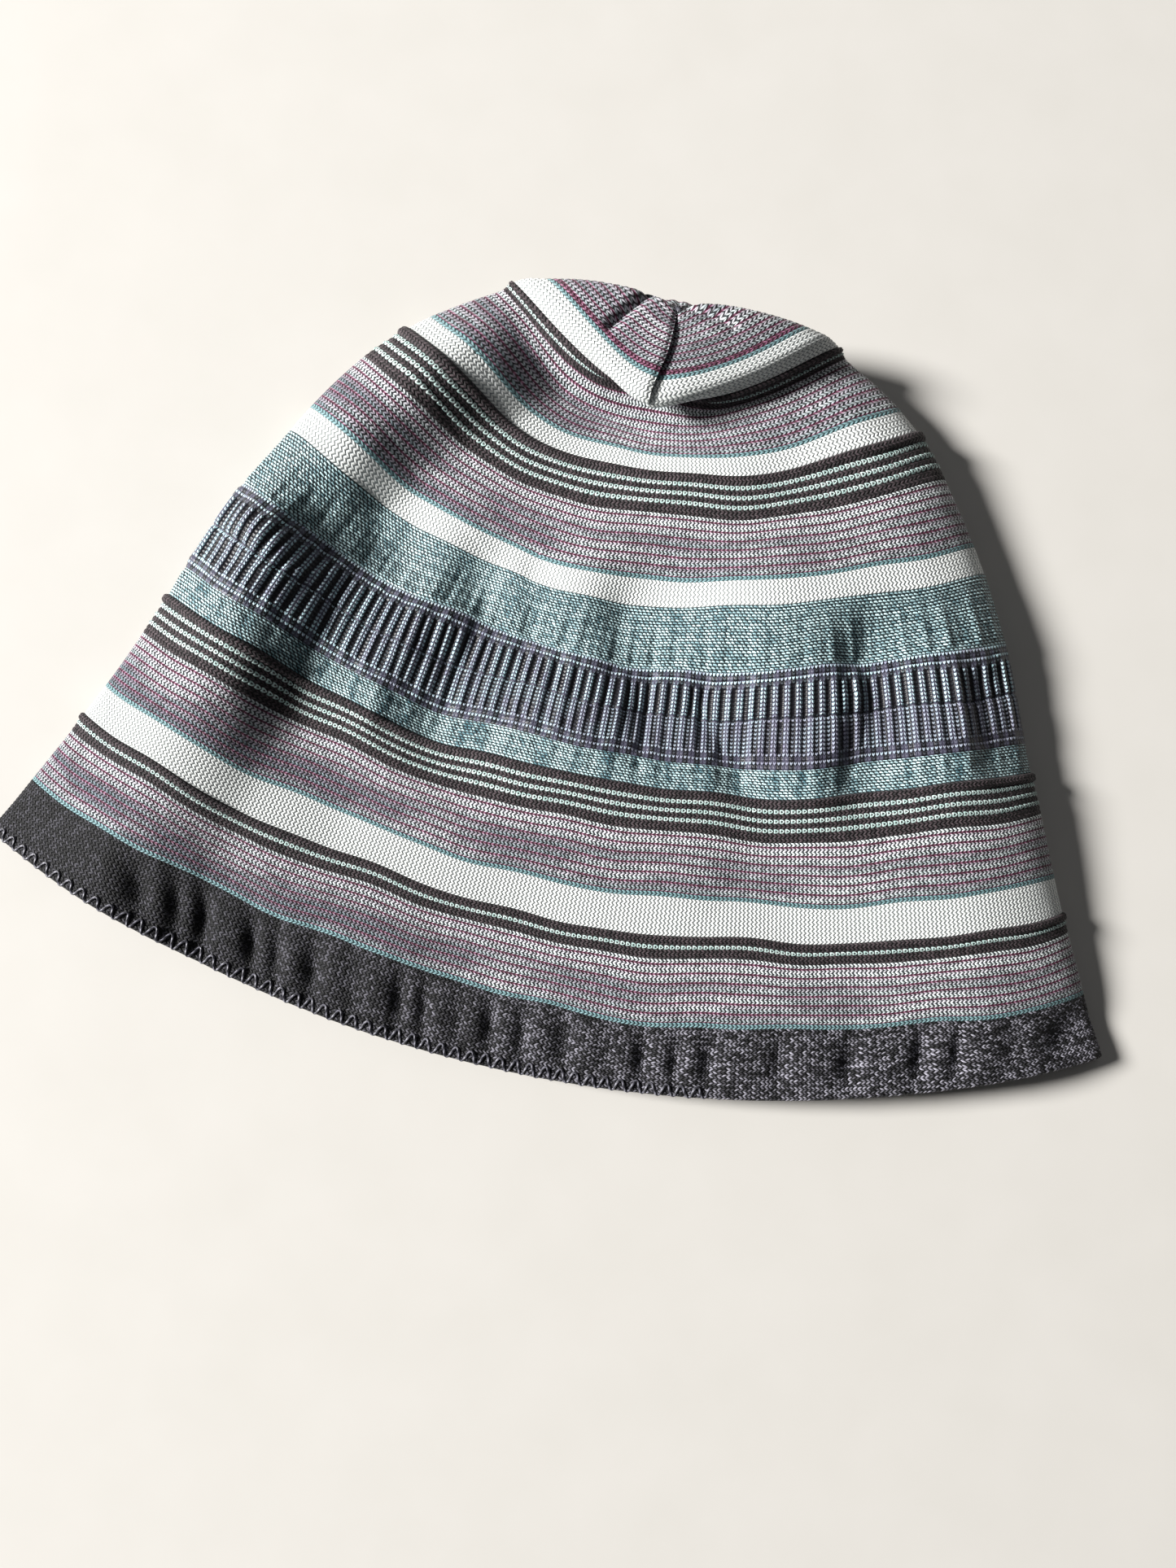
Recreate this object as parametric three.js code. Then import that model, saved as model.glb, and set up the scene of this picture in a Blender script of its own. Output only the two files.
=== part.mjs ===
// A striped knit beanie lying flat, as it is put down on a table. Millimetres, +Z up.
// X runs across the hat, +Y runs from the hem to the crown, and the back layer lies on z = 0.
// The knitted tube is described by rings: each ring is one knitted course, closed round the hat.
import * as THREE from 'three';

// Driving dimensions
const KNIT = 1.3;                // thickness of the knitted fabric
const GAP = 0.3;                 // space kept between neighbouring pieces
const FOLD = 0.027;              // radius of the side folds, as a share of the half width
const FRONT_ROUNDNESS = 4;       // higher is a flatter front layer with tighter shoulders
const BACK_ROUNDNESS = 20;       // the back layer is flat nearly to the side folds
const COLUMNS_PER_LAYER = 18;    // facets across the front layer, and across the back layer
const ROW_LENGTH = 11;           // longest facet from hem to crown on the plain wall
const CROWN_ROW_LENGTH = 3.4;    // the same where the crown folds over itself
const CROWN_FOLD_START = 185;    // how far along the fabric the crown's fold begins

// Rings at chosen heights along the fabric. course: distance along the fabric from the hem edge.
// half: half width. sideY, frontY and backY: where the ring meets the side folds, and the middle of
// the front and the back layer. sideZ, frontZ and backZ: heights there. bow: how pointed its arc is.
const RING_KEYS = ['course', 'half', 'sideY', 'frontY', 'backY', 'sideZ', 'frontZ', 'backZ', 'bow'];
const BACK_Z = KNIT / 2;
const RINGS = [
  [0, 160.0, 0.0, -36.0, -36.0, 3.2, 9.0, BACK_Z, 2.0],
  [40, 143.0, 34.0, 4.0, 5.0, 4.6, 14.0, BACK_Z, 2.0],
  [80, 127.2, 72.0, 44.0, 46.0, 5.6, 17.0, BACK_Z, 2.0],
  [116, 113.4, 109.5, 80.0, 83.5, 6.0, 17.5, BACK_Z, 2.0],
  [143, 98.7, 138.0, 107.0, 111.0, 6.2, 17.5, BACK_Z, 2.0],
  [165, 83.5, 159.5, 129.0, 134.0, 6.8, 17.0, BACK_Z, 2.0],
  [180, 69.8, 173.0, 144.0, 149.5, 7.6, 16.0, BACK_Z, 2.0],
  [195, 52.0, 183.0, 155.5, 165.0, 9.2, 15.2, BACK_Z, 1.8],
  [200, 49.5, 184.4, 155.8, 169.0, 10.6, 17.8, BACK_Z, 1.7],
  [203.5, 47.7, 185.2, 156.4, 172.0, 11.6, 20.8, BACK_Z, 1.6],
  [206, 46.0, 185.7, 157.6, 173.8, 12.3, 22.6, BACK_Z, 1.6],
  [209, 43.5, 186.1, 159.3, 176.0, 12.9, 24.1, BACK_Z, 1.6],
  [222, 25.5, 187.0, 169.5, 186.0, 17.0, 26.0, 6.5, 1.6],
  [232, 7.5, 184.8, 178.2, 187.0, 22.2, 25.6, 18.0, 1.6],
  [236, 0.4, 181.6, 181.2, 182.0, 24.5, 24.8, 24.2, 1.6],
];

// In the middle of the front the crown is tucked: the fabric folds back under the crown's lip and
// forward again. course, then how far the fabric moves along Y and Z there.
const TUCK_WIDTH = 13;
const TUCK = [
  [188, 0, 0],
  [195, 2.5, -0.2],
  [200, 7.0, -1.4],
  [203.5, 1.5, -1.6],
  [206, -3.3, -1.1],
  [209, -2.9, 0.2],
  [214, -0.8, 0],
  [220, 0, 0],
];

// Yarn colours
const CHARCOAL = 0x3e3c44;
const MELANGE = 0x8c828c;
const BLACK = 0x2d282a;
const WHITE = 0xe6e9e6;
const TEAL = 0x73919a;
const RIB = 0x4a4a5a;
const THREAD = 0x55535c;
const LABEL = 0xe8e6e0;

// The hem edge's zigzag stitching takes the lowest few millimetres of the fabric
const STITCH_ZONE = 3.6;
const ZIGZAG_PITCH = 9;
const ZIGZAG_THREAD = 1.0;

// Colour bands from the hem to the crown: name, where each one ends along the fabric, and its yarn
const BANDS = [
  ['hem_band', 19.5, CHARCOAL],
  ['melange_band_1', 37.8, MELANGE],
  ['black_band_1', 43.8, BLACK],
  ['white_band_1', 53.7, WHITE],
  ['melange_band_2', 71.6, MELANGE],
  ['black_band_2', 83.6, BLACK],
  ['teal_band_lower', 91.5, TEAL],
  ['rib_band', 118.3, RIB],
  ['teal_band_upper', 135.8, TEAL],
  ['white_band_2', 142.7, WHITE],
  ['melange_band_3', 160.7, MELANGE],
  ['black_band_3', 173.7, BLACK],
  ['white_band_3', 179.3, WHITE],
  ['melange_band_4', 196.5, MELANGE],
  ['black_band_4', 203.0, BLACK],
];
const CROWN_START = BANDS[BANDS.length - 1][1];
const CROWN_END = 232.6;

// The crown is four gores. A place round the hat is a number of quarters: 0 the right fold,
// 1 the middle of the front, 2 the left fold and 3 the middle of the back.
const SEAMS = { right: 0, front: 1, left: 2, back: 3 };
const GORES = [
  ['crown_gore_front_right', SEAMS.right, SEAMS.front],
  ['crown_gore_front_left', SEAMS.front, SEAMS.left],
  ['crown_gore_back_left', SEAMS.left, SEAMS.back],
  ['crown_gore_back_right', SEAMS.back, 4],
];
const SEAM_RADIUS = 0.7;
const SEAM_START = 212;
const SEAM_END = 229;
const TACK = { radius: 1.3, height: 0.8 };

// The care label is sewn to the inside of the back layer by one edge
const CARE_LABEL = { width: 32, length: 44, thickness: 0.5, sewnEdgeY: -8 };
const LABEL_THREAD = 0.5;

function material(color, roughness = 0.85) {
  return new THREE.MeshStandardMaterial({ color, roughness, metalness: 0 });
}

// A row of a table at a given first column, by a smooth curve through the table's rows
function smoothRow(table, place) {
  const last = table.length - 1;
  const clamped = Math.min(Math.max(place, table[0][0]), table[last][0]);
  let i = 0;
  while (i < last - 1 && clamped > table[i + 1][0]) {
    i += 1;
  }
  const [before, from, to, after] = [Math.max(i - 1, 0), i, i + 1, Math.min(i + 2, last)].map((k) => table[k]);
  const span = to[0] - from[0];
  const f = (clamped - from[0]) / span;
  const startWeight = 2 * f ** 3 - 3 * f ** 2 + 1;
  const slopeFromWeight = f ** 3 - 2 * f ** 2 + f;
  const slopeToWeight = f ** 3 - f ** 2;
  return from.map((_, k) => {
    const slopeFrom = ((to[k] - before[k]) / (to[0] - before[0])) * span;
    const slopeTo = ((after[k] - from[k]) / (after[0] - from[0])) * span;
    return startWeight * from[k] + slopeFromWeight * slopeFrom + (1 - startWeight) * to[k] + slopeToWeight * slopeTo;
  });
}

// The ring at a given distance along the fabric
function ringAt(course) {
  const row = smoothRow(RINGS, course);
  return Object.fromEntries(RING_KEYS.map((key, k) => [key, row[k]]));
}

// How far across the hat a place is, from 1 at the right fold to -1 at the left fold. Equal steps
// of quarter are equal lengths of fabric, round the folds too.
function acrossAt(quarter) {
  const wrapped = ((quarter % 4) + 4) % 4;
  const signed = wrapped < 2 ? 1 - wrapped : wrapped - 3;
  const fromFold = (1 - Math.abs(signed)) * Math.sqrt(1 + 2 * FOLD);
  const across = 1 + FOLD - Math.hypot(FOLD, fromFold);
  return { across: Math.sign(signed) * across, front: wrapped < 2 };
}

// A point of the fabric's middle surface
function fabricPoint(quarter, course) {
  const ring = ringAt(course);
  const { across, front } = acrossAt(quarter);
  const reach = Math.min(Math.abs(across), 1);
  const middleY = front ? ring.frontY : ring.backY;
  const middleZ = front ? ring.frontZ : Math.max(ring.backZ, BACK_Z);
  const roundness = front ? FRONT_ROUNDNESS : BACK_ROUNDNESS;
  const x = ring.half * across;
  const [, tuckY, tuckZ] = smoothRow(TUCK, course);
  const tuck = front ? Math.exp(-((x / TUCK_WIDTH) ** 2)) : 0;
  return new THREE.Vector3(
    x,
    ring.sideY + (middleY - ring.sideY) * (1 - reach ** ring.bow) + tuck * tuckY,
    ring.sideZ + (middleZ - ring.sideZ) * Math.sqrt(1 - reach ** roundness) + tuck * tuckZ,
  );
}

// A point at a distance outside the fabric's middle surface
function offsetPoint(quarter, course, outward) {
  const step = 0.01;
  const lowest = RINGS[0][0];
  const highest = RINGS[RINGS.length - 1][0];
  const up = fabricPoint(quarter, Math.min(course + step, highest));
  up.sub(fabricPoint(quarter, Math.max(course - step, lowest)));
  const round = fabricPoint(quarter + step, course).sub(fabricPoint(quarter - step, course));
  const normal = up.cross(round).normalize();
  return fabricPoint(quarter, course).addScaledVector(normal, outward);
}

// A closed thick sheet of fabric from a grid of places. rows is a list of lists of
// [quarter, course]; closed says that each row joins up with its own start.
function fabricSheet(rows, closed) {
  const columns = rows[0].length;
  const positions = [];
  for (const outward of [KNIT / 2, -KNIT / 2]) {
    for (const row of rows) {
      for (const [quarter, course] of row) {
        positions.push(...offsetPoint(quarter, course, outward).toArray());
      }
    }
  }
  const layer = rows.length * columns;
  const at = (side, row, column) => side * layer + row * columns + (column % columns);
  const index = [];
  const quad = (a, b, c, d) => index.push(a, b, c, a, c, d);
  const spans = closed ? columns : columns - 1;
  const top = rows.length - 1;
  for (let c = 0; c < spans; c += 1) {
    for (let r = 0; r < top; r += 1) {
      quad(at(0, r, c), at(0, r + 1, c), at(0, r + 1, c + 1), at(0, r, c + 1));
      quad(at(1, r, c), at(1, r, c + 1), at(1, r + 1, c + 1), at(1, r + 1, c));
    }
    quad(at(0, 0, c), at(0, 0, c + 1), at(1, 0, c + 1), at(1, 0, c));
    quad(at(0, top, c), at(1, top, c), at(1, top, c + 1), at(0, top, c + 1));
  }
  if (!closed) {
    for (let r = 0; r < top; r += 1) {
      quad(at(0, r, 0), at(1, r, 0), at(1, r + 1, 0), at(0, r + 1, 0));
      quad(at(0, r, spans), at(0, r + 1, spans), at(1, r + 1, spans), at(1, r, spans));
    }
  }
  const geometry = new THREE.BufferGeometry();
  geometry.setAttribute('position', new THREE.Float32BufferAttribute(positions, 3));
  geometry.setIndex(index);
  return geometry;
}

// Places round the hat, closer together at the two side folds
function columnPlaces() {
  const places = [];
  const half = COLUMNS_PER_LAYER / 2;
  const crowding = 1.6;
  for (let layer = 0; layer < 2; layer += 1) {
    for (let i = 0; i < COLUMNS_PER_LAYER; i += 1) {
      const fromMiddle = (i - half) / half;
      const fromFold = (1 - Math.abs(fromMiddle)) ** crowding;
      places.push(layer * 2 + 1 + Math.sign(fromMiddle) * (1 - fromFold));
    }
  }
  return places;
}

// Heights along the fabric between two ends, with facets no longer than the length given
function courseSteps(from, to, longest) {
  const count = Math.max(1, Math.ceil((to - from) / longest));
  return Array.from({ length: count + 1 }, (_, i) => from + ((to - from) * i) / count);
}

function colourBand(name, from, to, color) {
  const longest = to > CROWN_FOLD_START ? CROWN_ROW_LENGTH : ROW_LENGTH;
  const places = columnPlaces();
  const rows = courseSteps(from + GAP / 2, to - GAP / 2, longest)
    .map((course) => places.map((quarter) => [quarter, course]));
  const mesh = new THREE.Mesh(fabricSheet(rows, true), material(color));
  mesh.name = name;
  return mesh;
}

function crownGore(name, from, to) {
  const nearSeam = 0.02;
  const inner = columnPlaces().filter((quarter) => quarter > from + nearSeam && quarter < to - nearSeam);
  const rows = courseSteps(CROWN_START + 2 * GAP, CROWN_END, CROWN_ROW_LENGTH).map((course) => {
    const seamRoom = GAP / 2 / ringAt(course).half;
    return [from + seamRoom, ...inner, to - seamRoom].map((quarter) => [quarter, course]);
  });
  const mesh = new THREE.Mesh(fabricSheet(rows, false), material(MELANGE));
  mesh.name = name;
  return mesh;
}

// A thread or seam of round section along a line of points
function cordAlong(points, radius, sides) {
  const section = new THREE.Shape();
  for (let i = 0; i < sides; i += 1) {
    const angle = (i / sides) * 2 * Math.PI;
    const corner = [radius * Math.cos(angle), radius * Math.sin(angle)];
    if (i === 0) {
      section.moveTo(...corner);
    } else {
      section.lineTo(...corner);
    }
  }
  section.closePath();
  const path = new THREE.CatmullRomCurve3(points);
  return new THREE.ExtrudeGeometry(section, { steps: 2 * points.length, bevelEnabled: false, extrudePath: path });
}

// The seam allowance of one crown seam, sewn together inside the hat
function crownSeam(side, quarter) {
  const inward = -(KNIT / 2 + GAP + SEAM_RADIUS);
  const points = courseSteps(SEAM_START, SEAM_END, CROWN_ROW_LENGTH)
    .map((course) => offsetPoint(quarter, course, inward));
  const mesh = new THREE.Mesh(cordAlong(points, SEAM_RADIUS, 6), material(THREAD));
  mesh.name = `crown_seam_${side}`;
  return mesh;
}

function crownTack() {
  const mesh = new THREE.Mesh(new THREE.SphereGeometry(TACK.radius, 12, 8), material(THREAD));
  mesh.name = 'crown_tack';
  mesh.scale.set(1, 1, TACK.height);
  mesh.position.copy(fabricPoint(1, RINGS[RINGS.length - 1][0]));
  return mesh;
}

// The zigzag thread over the hem edge: one closed band of slanting stitches round the hat
function hemZigzag() {
  const edge = ringAt(0).half * 4;
  const turns = Math.round(edge / ZIGZAG_PITCH / 2) * 4;
  const half = ZIGZAG_THREAD / 2;
  const low = half;
  const high = STITCH_ZONE - GAP - half;
  const positions = [];
  for (let i = 0; i < turns; i += 1) {
    const quarter = (i / turns) * 4;
    const course = i % 2 ? high : low;
    for (const [along, outward] of [[-half, -half], [half, -half], [half, half], [-half, half]]) {
      positions.push(...offsetPoint(quarter, course + along, outward).toArray());
    }
  }
  const index = [];
  for (let i = 0; i < turns; i += 1) {
    const next = (i + 1) % turns;
    for (let k = 0; k < 4; k += 1) {
      const [a, b] = [i * 4 + k, i * 4 + ((k + 1) % 4)];
      const [c, d] = [next * 4 + ((k + 1) % 4), next * 4 + k];
      index.push(a, c, b, a, d, c);
    }
  }
  const geometry = new THREE.BufferGeometry();
  geometry.setAttribute('position', new THREE.Float32BufferAttribute(positions, 3));
  geometry.setIndex(index);
  const mesh = new THREE.Mesh(geometry, material(THREAD, 0.6));
  mesh.name = 'hem_zigzag_thread';
  return mesh;
}

function careLabel() {
  const { width, length, thickness, sewnEdgeY } = CARE_LABEL;
  const mesh = new THREE.Mesh(new THREE.BoxGeometry(width, length, thickness), material(LABEL, 0.7));
  mesh.name = 'care_label';
  mesh.position.set(0, sewnEdgeY + length / 2, KNIT + GAP + thickness / 2);
  return mesh;
}

function labelStitch() {
  const geometry = new THREE.BoxGeometry(CARE_LABEL.width, LABEL_THREAD, LABEL_THREAD);
  const mesh = new THREE.Mesh(geometry, material(THREAD, 0.6));
  mesh.name = 'label_stitch';
  const centreY = CARE_LABEL.sewnEdgeY - GAP - LABEL_THREAD / 2;
  mesh.position.set(0, centreY, KNIT + GAP + LABEL_THREAD / 2);
  return mesh;
}

const beanie = new THREE.Group();
beanie.add(hemZigzag());
let bandStart = STITCH_ZONE;
for (const [name, end, color] of BANDS) {
  beanie.add(colourBand(name, bandStart, end, color));
  bandStart = end;
}
for (const [name, from, to] of GORES) {
  beanie.add(crownGore(name, from, to));
}
for (const [side, quarter] of Object.entries(SEAMS)) {
  beanie.add(crownSeam(side, quarter));
}
beanie.add(crownTack());
beanie.add(labelStitch());
beanie.add(careLabel());

// The origin is under the middle of the hat's outline
const outline = new THREE.Box3().setFromObject(beanie).getCenter(new THREE.Vector3());
beanie.position.set(-outline.x, -outline.y, 0);

export default beanie;
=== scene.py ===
import math

import bpy
import numpy as np
from mathutils import Matrix, Vector


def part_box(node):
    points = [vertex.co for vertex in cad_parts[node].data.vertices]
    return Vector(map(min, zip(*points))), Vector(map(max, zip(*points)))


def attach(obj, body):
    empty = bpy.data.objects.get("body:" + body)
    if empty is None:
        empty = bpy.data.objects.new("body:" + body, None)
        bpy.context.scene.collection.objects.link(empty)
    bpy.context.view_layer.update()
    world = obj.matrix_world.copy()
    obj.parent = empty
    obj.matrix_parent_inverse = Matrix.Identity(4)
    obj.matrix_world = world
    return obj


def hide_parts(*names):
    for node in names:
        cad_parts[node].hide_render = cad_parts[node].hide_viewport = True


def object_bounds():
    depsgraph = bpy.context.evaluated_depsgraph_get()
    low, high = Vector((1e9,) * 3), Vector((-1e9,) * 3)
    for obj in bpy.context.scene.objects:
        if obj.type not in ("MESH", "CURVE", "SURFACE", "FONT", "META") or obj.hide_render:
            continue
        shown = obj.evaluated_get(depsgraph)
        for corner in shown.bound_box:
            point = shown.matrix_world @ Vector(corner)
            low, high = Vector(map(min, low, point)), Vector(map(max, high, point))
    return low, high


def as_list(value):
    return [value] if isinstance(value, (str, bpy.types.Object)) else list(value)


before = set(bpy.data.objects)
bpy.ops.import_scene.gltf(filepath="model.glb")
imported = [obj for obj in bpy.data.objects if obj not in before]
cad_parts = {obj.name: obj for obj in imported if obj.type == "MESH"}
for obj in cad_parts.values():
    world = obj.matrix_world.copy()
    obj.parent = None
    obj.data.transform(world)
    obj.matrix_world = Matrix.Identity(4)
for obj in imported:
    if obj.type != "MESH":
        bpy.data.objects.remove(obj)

# A striped knit beanie lying flat with its hem towards the viewer. The shape is worked out in
# millimetres, from the same rings as the CAD part, and is then placed in the frame, in metres.
MM = 0.001
CAD_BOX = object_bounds()

# --- driving dimensions, millimetres
KNIT = 1.3            # thickness of the knitted fabric
FOLD = 0.027          # radius of the side folds, as a share of the half width
RIGHT_ROUNDNESS = 11  # right side of the front; higher is flatter on top and steeper at the side
LEFT_ROUNDNESS = 5    # left side of the front
BACK_ROUNDNESS = 20
BACK_Z = KNIT / 2     # height of the back layer's middle surface
LAYER_GAP = 0.2       # the front layer never comes nearer to the back layer than this
LEFT_RISE = 4.2       # how far the rolled left side stands above the middle of the front
RIGHT_RISE = 2.4      # the same at the right side
SAG = 2.0             # how far the middle of the body sinks
RIDGE_AT = 0.74       # where the rolled sides are highest, as a share of the half width
WALE = 1.1            # width of one column of stitches
ROW = 1.28            # height of one row of stitches
TEAL_WALE = 1.45
TEAL_ROW = 1.05
RIB_PITCH = 3.0       # width of one rib and the hollow beside it
RIB_ROW = 1.1
COLUMNS = 800         # mesh columns round the hat
RIB_COLUMNS = 1440    # mesh columns of the rib band, whose ribs need more
STEPS_PER_ROW = 4     # mesh rows to each row of stitches
LINING_STEP = 4       # the inner side has a quarter of the columns

# course, half width, sideY, frontY, backY, sideZ, frontZ, backZ, bow of one ring of the hat
RINGS = np.array([
    [0, 160.0, 0.0, -36.0, -36.0, 3.2, 9.0, BACK_Z, 2.0],
    [40, 143.0, 34.0, 4.0, 5.0, 4.6, 14.0, BACK_Z, 2.0],
    [80, 127.2, 72.0, 44.0, 46.0, 5.6, 17.0, BACK_Z, 2.0],
    [116, 113.4, 109.5, 80.0, 83.5, 6.0, 17.5, BACK_Z, 2.0],
    [143, 98.7, 138.0, 107.0, 111.0, 6.2, 17.5, BACK_Z, 2.0],
    [165, 83.5, 159.5, 129.0, 134.0, 6.8, 17.0, BACK_Z, 2.0],
    [180, 69.8, 173.0, 144.0, 149.5, 7.6, 16.0, BACK_Z, 2.0],
    [195, 52.0, 183.0, 155.5, 165.0, 9.2, 15.2, BACK_Z, 1.8],
    [200, 49.5, 184.4, 155.8, 169.0, 10.6, 17.8, BACK_Z, 1.7],
    [203.5, 47.7, 185.2, 156.4, 172.0, 11.6, 20.8, BACK_Z, 1.6],
    [206, 46.0, 185.7, 157.6, 173.8, 12.3, 22.6, BACK_Z, 1.6],
    [209, 43.5, 186.1, 159.3, 176.0, 12.9, 24.1, BACK_Z, 1.6],
    [222, 25.5, 187.0, 169.5, 186.0, 17.0, 26.0, 6.5, 1.6],
    [232, 7.5, 184.8, 178.2, 187.0, 22.2, 25.6, 18.0, 1.6],
    [236, 0.4, 181.6, 181.2, 182.0, 24.5, 24.8, 24.2, 1.6],
])
# course, and how far the crown's tuck moves the middle of the front along Y and Z there
TUCK = np.array([
    [188, 0, 0],
    [195, 2.5, -0.2],
    [200, 7.0, -1.4],
    [203.5, 1.5, -1.6],
    [206, -3.3, -1.1],
    [209, -2.9, 0.2],
    [214, -0.8, 0],
    [220, 0, 0],
])
TUCK_WIDTH = 13
TO_FRAME_Y = CAD_BOX[0].y / MM - RINGS[0][3]

# Colour bands from the hem up: CAD node, where it ends along the fabric, and its yarn
BANDS = [
    ("hem_band", 19.5, "charcoal"),
    ("melange_band_1", 37.8, "melange"),
    ("black_band_1", 43.8, "black"),
    ("white_band_1", 53.7, "white"),
    ("melange_band_2", 71.6, "melange"),
    ("black_band_2", 83.6, "black_wide"),
    ("teal_band_lower", 91.5, "teal_streaked"),
    ("rib_band", 118.3, "rib"),
    ("teal_band_upper", 135.8, "teal"),
    ("white_band_2", 142.7, "white"),
    ("melange_band_3", 160.7, "melange"),
    ("black_band_3", 173.7, "black_wide"),
    ("white_band_3", 179.3, "white"),
    ("melange_band_4", 196.5, "melange"),
    ("black_band_4", 203.0, "black"),
]
CROWN_START = BANDS[-1][1]
CROWN_END = 235.6
GORES = [f"crown_gore_{place}" for place in ("front_right", "front_left", "back_left", "back_right")]
SEAMS = {"right": 0, "front": 1, "left": 2, "back": 3}
# Which rows of a black band are the pale chain lines, counted from its hem side
PALE_ROWS = {"black": (2,), "black_wide": (2, 4, 6)}
BLACK_ROWS = {"black": 5, "black_wide": 9}
WELT_ROWS = 2
# The rib band's plain rows at both ends, and the sunken line between its rows of ribs
RIB_PLAIN_ROWS = 3.7
RIB_LINE_ROW = 12
RIB_MIDDLE = 105.0  # the course at the middle of the rib band
CROWN_WHITE_ROWS = 7
CROWN_TEAL_ROWS = 1.4


# --- shape of the hat
def smooth_rows(table, place):
    """Rows of a table at given first-column values, by a smooth curve through the table's rows."""
    at = table[:, 0]
    place = np.clip(place, at[0], at[-1])
    i = np.clip(np.searchsorted(at, place) - 1, 0, len(at) - 2)
    before = table[np.maximum(i - 1, 0)]
    start = table[i]
    end = table[i + 1]
    after = table[np.minimum(i + 2, len(at) - 1)]
    span = end[:, :1] - start[:, :1]
    f = (place[:, None] - start[:, :1]) / span
    start_slope = (end - before) / (end[:, :1] - before[:, :1]) * span
    end_slope = (after - start) / (after[:, :1] - start[:, :1]) * span
    start_weight = 2 * f**3 - 3 * f**2 + 1
    curve = start_weight * start + (1 - start_weight) * end
    return curve + (f**3 - 2 * f**2 + f) * start_slope + (f**3 - f**2) * end_slope


def half_width(course):
    """The hat's half width at each of some courses."""
    return smooth_rows(RINGS, course)[:, 1]


def bump(distance, width):
    """1 at no distance, falling smoothly to 0 about two widths away."""
    return np.exp(-((distance / width) ** 2))


def step(value, low, high):
    """0 below low, 1 above high, and smooth between them. With low above high it falls instead."""
    f = np.clip((value - low) / (high - low), 0, 1)
    return f * f * (3 - 2 * f)


# Folds of the front layer: half width, depth, and the line along the bottom of the hollow. A fold is
# steep on its left, and its right side is SLOW_SIDE times as wide.
SLOW_SIDE = 2.6
FOLDS = [
    (12.0, 10.6, [(-82, 55), (-77, 74), (-78, 92), (-86, 106)]),
    (14.5, 4.4, [(-92, -14), (-88, 14), (-86, 32)]),
    (13.0, 12.5, [(-67, 112), (-61, 122), (-51, 134), (-39, 146), (-26, 160)]),
    (11.0, 9.4, [(-42, 58), (-40, 70), (-32, 84), (-37, 96)]),
    (9.5, 6.2, [(5, 95), (9, 84), (15, 74)]),
    (5.0, 3.4, [(30, 76), (42, 58)]),
    (6.5, 4.8, [(70, 96), (75, 86), (75, 64)]),
    (5.0, 2.6, [(106, 96), (112, 78)]),
    (4.0, 1.8, [(-56, 52), (-57, 68)]),
    (4.0, 1.4, [(-22, 88), (-25, 103)]),
    (13.0, 2.2, [(-60, 22), (-28, 2)]),
    (14.0, 2.0, [(44, 146), (78, 128)]),
    (12.0, 1.8, [(52, 30), (86, 8)]),
]
# Soft swellings between the folds: middle x and y, radius, and height
SWELLINGS = [
    (-26, 96, 11, 1.6),
    (-62, 88, 9, 1.0),
    (42, 104, 16, 1.4),
    (-104, 60, 14, 0.8),
    (-103, 99, 9, 5.0),
    (-84, 132, 10, 2.5),
    (-108, 78, 9, 2.5),
    (-114, 8, 13, 1.0),
    (-70, 150, 12, 1.6),
    (10, 130, 22, 0.8),
]
# Short upright dimples in the hem: place across the hat, depth and half width
HEM_DIMPLES = [
    (-113, 3.4, 5.0), (-103, 3.0, 3.6), (-95, 3.2, 3.2), (-80, 3.0, 3.2), (-73, 2.6, 2.6),
    (-62, 2.8, 3.4), (-50, 1.2, 4.0), (-37, 2.4, 3.0), (-30, 2.2, 2.6), (-20, 1.0, 3.0),
    (-11, 2.2, 2.8), (-2, 1.8, 2.6), (10, 2.2, 3.6), (22, 0.8, 3.0), (32, 2.4, 2.8),
    (41, 2.0, 2.6), (50, 2.2, 3.0), (69, 1.8, 3.0), (88, 2.4, 3.4), (107, 2.6, 2.8),
    (117, 2.0, 2.4), (132, 1.2, 4.0), (147, 2.6, 7.0),
]
# Their place along the fabric, half their length, and how far they lean to the left
HEM_DIMPLE_COURSE = 10.0
HEM_DIMPLE_LENGTH = 7.0
HEM_DIMPLE_LEAN = 0.12
# The courses over which the creases and the rolled sides fade out, and the sinking middle fades in
CREASES_END = (188, 200)
SIDES_END = (180, 198)
SAG_START = (70, 100)
# Short grooves of the crown: one end and the other, half width and depth
CROWN_GROOVES = [
    ((-8, 185), (-17, 173), 1.9, 2.6),
    ((2, 182), (16, 179), 1.5, 1.2),
]
# Uneven rows: radians per millimetre across the hat and along it, phase, and height
ROW_WAVES = [
    (0.118, 0.042, 0.4, 0.40),
    (0.187, -0.094, 2.1, 0.24),
    (0.293, 0.142, 4.4, 0.09),
    (0.064, 0.076, 1.3, 0.55),
]
FRONT_SEAM_STEP = 0.9  # how far the front gores stand above and below the rest at their seam
# The pointed tip of the crown's tuck: where it is along the fabric, its half width and length, and
# how far it leans to the left
TIP_COURSE = 207
TIP_WIDTH = 16
TIP_LENGTH = 9
TIP_SHIFT = -2.7
# The hem is deeper at the left of the front: where, over what half width and length, and how much
HEM_EXTRA_X = -66
HEM_EXTRA_WIDTH = 44
HEM_EXTRA_LENGTH = 11.5
HEM_EXTRA = 2.6


def away_from_line(x, y, start, end):
    """The way along X and Y to each point from the nearest point of a straight line."""
    along = np.subtract(end, start)
    f = ((x - start[0]) * along[0] + (y - start[1]) * along[1]) / (along @ along)
    f = np.clip(f, 0, 1)
    return x - start[0] - f * along[0], y - start[1] - f * along[1]


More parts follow.
